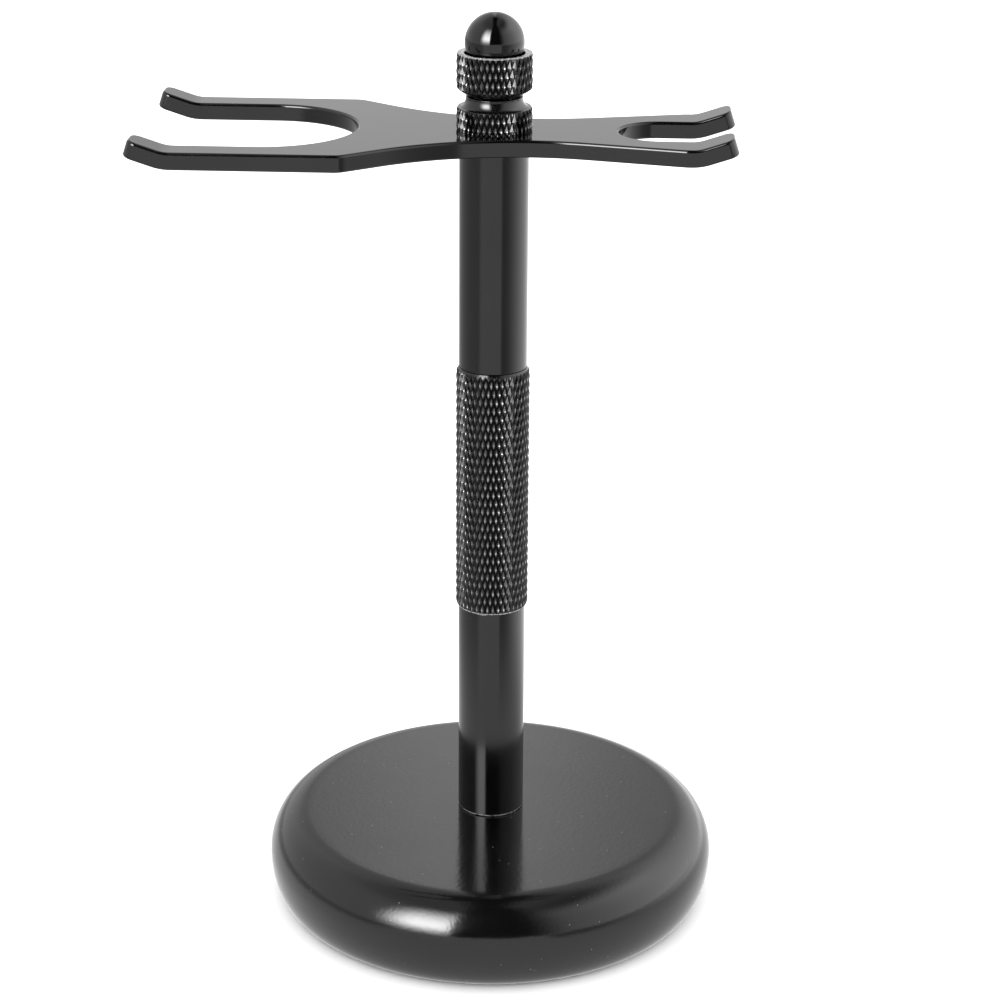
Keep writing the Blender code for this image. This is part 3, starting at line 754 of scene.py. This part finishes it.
def makeBall():
    s = ballShape
    radius, bottom, top = turnedSize("finial_ball")
    centre = top - radius
    mouth = -math.degrees(math.acos(s["hole"] / radius))
    sphere = ellipseArc((0, centre), (radius, radius), 90, mouth, s["rows"])
    sphere[0, 0] = 0
    hole = np.array([(s["hole"], s["holeTop"] - 0.1), (s["hole"] - 0.1, s["holeTop"]), (0, s["holeTop"])])
    turnedPiece("finialBall", np.concatenate([sphere, hole]), s["columns"], "finial_cap", "ball_gloss",
                ["finial_ball"])


print("base")
makeBase()
makePad()
print("post")
makePost()
print("fork")
makeFork()
print("finial")
makeCollar()
makeRing()
makeBall()


keptFinishes = {
    "base_screw": "zinc_steel", "base_flat_washer": "zinc_steel", "base_lock_washer": "zinc_steel",
    "lower_tube_bottom_insert": "insert_brass", "lower_tube_top_insert": "insert_brass",
    "upper_tube_bottom_insert": "insert_brass", "upper_tube_top_insert": "insert_brass",
    "fork_washer": "washer_nylon",
}
for node, slotName in keptFinishes.items():
    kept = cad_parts[node]
    kept.data.materials.clear()
    kept.data.materials.append(finishes[slotName])
print("kept CAD nodes: %d" % len(keptFinishes))


studio = {
    "floorSize": 6.0,               # metres
    "floorTone": 0.88,
    "evenGlow": 2.1,                # soft light on the floor
    "floorNear": 1.15,              # glow of the floor beside the base, as the paint mirrors it
    "floorReach": (0.06, 0.12),     # metres from the post where that gives way to the next four
    "floorLeft": 0.62,
    "floorAhead": 1.15,
    "floorShade": 0.42,
    "floorRight": 2.0,
    "leftTurn": (-50, -36),         # azimuths between which each passes into the next
    "shadeTurn": (27, 31),
    "rightTurn": (38, 110),
    "wallGlow": 1.04,
    "backAt": 183.2,                # azimuth of the middle of the back
    "backDip": 0.25,                # less light behind the stand
    "dipWidth": (10, 35),
    "backSpot": 0.72,               # and more in a soft patch in the middle of that
    "spotWidth": (0, 5.5),
    "backFoot": (17, 26),           # elevations where both begin
    "rightGlow": 1.7,               # extra on the right
    "rightEdges": (70, 138),
    "rightSoft": (44, 40),
    "wallTop": (42, 68),            # elevations between which the wall fades to the ceiling
    "ceilingGlow": (0.62, 0.22),    # on the left, on the right
    "ceilingTurn": (0.05, 0.5),     # share of a direction that points right
    "slitEdges": (-17.5, 33),       # dark gap beside the camera
    "slitSoft": (2, 13),
    "slitGlow": 0.01,
    "slitFoot": 1,
    "overheadWidth": (0.05, 0.17),  # the gap overhead, as a share like the ceiling's
    "overheadFrom": 60,
    "stripEdges": (-47, -17.5),
    "stripSoft": (12, 2),
    "stripFoot": 20,                # full from here, and the share left at the floor
    "stripLeft": 0.1,
    "stripTop": (20, 62),           # full up to here, and gone at the second
    "stripGlow": 22.5,
}


# Soft ramp whose edges are given in degrees.
def turnRamp(tree, value, edges, toLow, toHigh):
    low, high = (math.radians(angle) for angle in edges)
    return rampNode(tree, value, low, high, toLow, toHigh, True)


# 1 between two edges in degrees, 0 outside, with a soft passage of some degrees to each side of them.
def softBand(tree, value, edges, soft):
    rise = turnRamp(tree, value, (edges[0] - soft[0], edges[0] + soft[0]), 0.0, 1.0)
    fall = turnRamp(tree, value, (edges[1] - soft[1], edges[1] + soft[1]), 1.0, 0.0)
    return mathNode(tree, "MULTIPLY", rise, fall)


def mixValue(tree, share, first, second):
    inputs = {"Factor": share, 2: first, 3: second}
    return addNode(tree, "ShaderNodeMix", inputs, data_type="FLOAT").outputs[0]


# Pale paper for the camera. In mirrors it is a glow by azimuth, counted from straight ahead to the
# right, which is the sum of steps from one side to the next.
def addFloor():
    mesh = bpy.data.meshes.new("floor")
    half = studio["floorSize"] / 2
    mesh.from_pydata([(-half, -half, 0), (half, -half, 0), (half, half, 0), (-half, half, 0)], [],
                     [(0, 1, 2, 3)])
    floor = bpy.data.objects.new("floor", mesh)
    scene.collection.objects.link(floor)
    material, tree, shader, place = startMaterial("floorPaper")
    tone = studio["floorTone"]
    shader.inputs["Base Color"].default_value = (tone, tone, tone, 1)
    shader.inputs["Roughness"].default_value = 0.9
    shader.inputs["Specular IOR Level"].default_value = 0.0
    right, back, up = addNode(tree, "ShaderNodeSeparateXYZ", {0: place}).outputs
    azimuth = mathNode(tree, "ARCTAN2", right, mathNode(tree, "MULTIPLY", back, -1.0))
    distance = mathNode(tree, "SQRT", mathNode(tree, "ADD", mathNode(tree, "MULTIPLY", right, right),
                                               mathNode(tree, "MULTIPLY", back, back)))
    left = turnRamp(tree, azimuth, studio["leftTurn"], studio["floorLeft"], studio["floorAhead"])
    shade = turnRamp(tree, azimuth, studio["shadeTurn"], 0.0, studio["floorShade"] - studio["floorAhead"])
    rise = turnRamp(tree, azimuth, studio["rightTurn"], 0.0, studio["floorRight"] - studio["floorShade"])
    far = mathNode(tree, "ADD", mathNode(tree, "ADD", left, shade), rise)
    reach = rampNode(tree, distance, *studio["floorReach"], 0.0, 1.0, True)
    level = mixValue(tree, reach, studio["floorNear"], far)
    mirrored = addNode(tree, "ShaderNodeEmission", {"Strength": level})
    inMirror = addNode(tree, "ShaderNodeLightPath").outputs["Is Glossy Ray"]
    choice = addNode(tree, "ShaderNodeMixShader", {0: inMirror, 1: shader.outputs[0], 2: mirrored.outputs[0]})
    tree.links.new(choice.outputs[0], tree.nodes["Material Output"].inputs["Surface"])
    mesh.materials.append(material)


# Light tent round the stand, as a glow for each direction. The walls are bright, the right one
# more so, and fade into a ceiling that is dimmer on the right. A dark slit stands at the camera
# and runs on overhead, with a bright upright strip on its left. What the camera itself sees, and
# what lights the floor, is plain white.
def addTent():
    world = bpy.data.worlds.new("tent")
    scene.world = world
    world.cycles.sampling_method = "NONE"    # so the bright strip lights nothing but mirrors
    world.use_nodes = True
    tree = world.node_tree
    glow = tree.nodes["Background"]
    glow.inputs["Color"].default_value = (1, 1, 1, 1)
    arrow = addNode(tree, "ShaderNodeTexCoord").outputs["Generated"]
    right, back, up = addNode(tree, "ShaderNodeSeparateXYZ", {0: arrow}).outputs
    elevation = mathNode(tree, "ARCSINE", up)
    azimuth = mathNode(tree, "ARCTAN2", right, mathNode(tree, "MULTIPLY", back, -1.0))

    # wall, with the dip and the spot behind the stand
    offBack = mathNode(tree, "SUBTRACT", azimuth, math.radians(studio["backAt"]))
    aside = mathNode(tree, "ARCCOSINE", mathNode(tree, "COSINE", offBack))
    dip = turnRamp(tree, aside, studio["dipWidth"], -studio["backDip"], 0.0)
    spot = turnRamp(tree, aside, studio["spotWidth"], studio["backSpot"], 0.0)
    behind = mathNode(tree, "MULTIPLY", mathNode(tree, "ADD", dip, spot),
                      turnRamp(tree, elevation, studio["backFoot"], 0.0, 1.0))
    rightward = mathNode(tree, "MULTIPLY", softBand(tree, azimuth, studio["rightEdges"], studio["rightSoft"]),
                         studio["rightGlow"])
    wall = mathNode(tree, "ADD", mathNode(tree, "ADD", behind, rightward), studio["wallGlow"])
    ceiling = rampNode(tree, right, *studio["ceilingTurn"], *studio["ceilingGlow"], True)
    wall = mixValue(tree, turnRamp(tree, elevation, studio["wallTop"], 0.0, 1.0), wall, ceiling)

    # slit beside the camera and overhead
    slit = mathNode(tree, "MULTIPLY", softBand(tree, azimuth, studio["slitEdges"], studio["slitSoft"]),
                    softBand(tree, elevation, (studio["slitFoot"], 200), (1, 1)))
    narrow = rampNode(tree, mathNode(tree, "ABSOLUTE", right), *studio["overheadWidth"], 1.0, 0.0, True)
    overhead = mathNode(tree, "MULTIPLY", narrow,
                        softBand(tree, elevation, (studio["overheadFrom"], 200), (6, 1)))
    dark = mathNode(tree, "MAXIMUM", slit, overhead)
    wall = mathNode(tree, "MULTIPLY", wall, rampNode(tree, dark, 0.0, 1.0, 1.0, studio["slitGlow"]))

    # strip
    foot = rampNode(tree, elevation, 0.0, math.radians(studio["stripFoot"]), studio["stripLeft"], 1.0, True)
    upright = mathNode(tree, "MULTIPLY", foot, turnRamp(tree, elevation, studio["stripTop"], 1.0, 0.0))
    strip = mathNode(tree, "MULTIPLY", upright,
                     softBand(tree, azimuth, studio["stripEdges"], studio["stripSoft"]))
    total = mathNode(tree, "MULTIPLY_ADD", strip, studio["stripGlow"], wall)

    path = addNode(tree, "ShaderNodeLightPath")
    plain = mathNode(tree, "MAXIMUM", path.outputs["Is Camera Ray"], path.outputs["Is Diffuse Ray"])
    tree.links.new(mixValue(tree, plain, total, studio["evenGlow"]), glow.inputs["Strength"])


viewpoint = {
    "aim": (1.15, 0.0, 64.4),
    "distance": 409.9,
    "azimuth": 2.5,        # to the right of straight ahead
    "elevation": 20.82,
    "roll": 0.383,
    "lens": 98.86,         # on a 36 mm sensor
}


def addCamera():
    v = viewpoint
    azimuth, elevation = math.radians(v["azimuth"]), math.radians(v["elevation"])
    back = Vector((math.sin(azimuth) * math.cos(elevation), -math.cos(azimuth) * math.cos(elevation),
                   math.sin(elevation)))
    data = bpy.data.cameras.new("camera")
    data.lens = v["lens"]
    data.sensor_width = 36
    data.clip_start = 0.01
    camera = bpy.data.objects.new("camera", data)
    camera.location = (Vector(v["aim"]) + back * v["distance"]) * mm
    turned = (-back).to_track_quat("-Z", "Y").to_matrix() @ Matrix.Rotation(math.radians(v["roll"]), 3, "Z")
    camera.rotation_euler = turned.to_euler()
    scene.collection.objects.link(camera)
    scene.camera = camera


print("studio")
addFloor()
addTent()
addCamera()
scene.view_settings.view_transform = "Standard"

print("done")
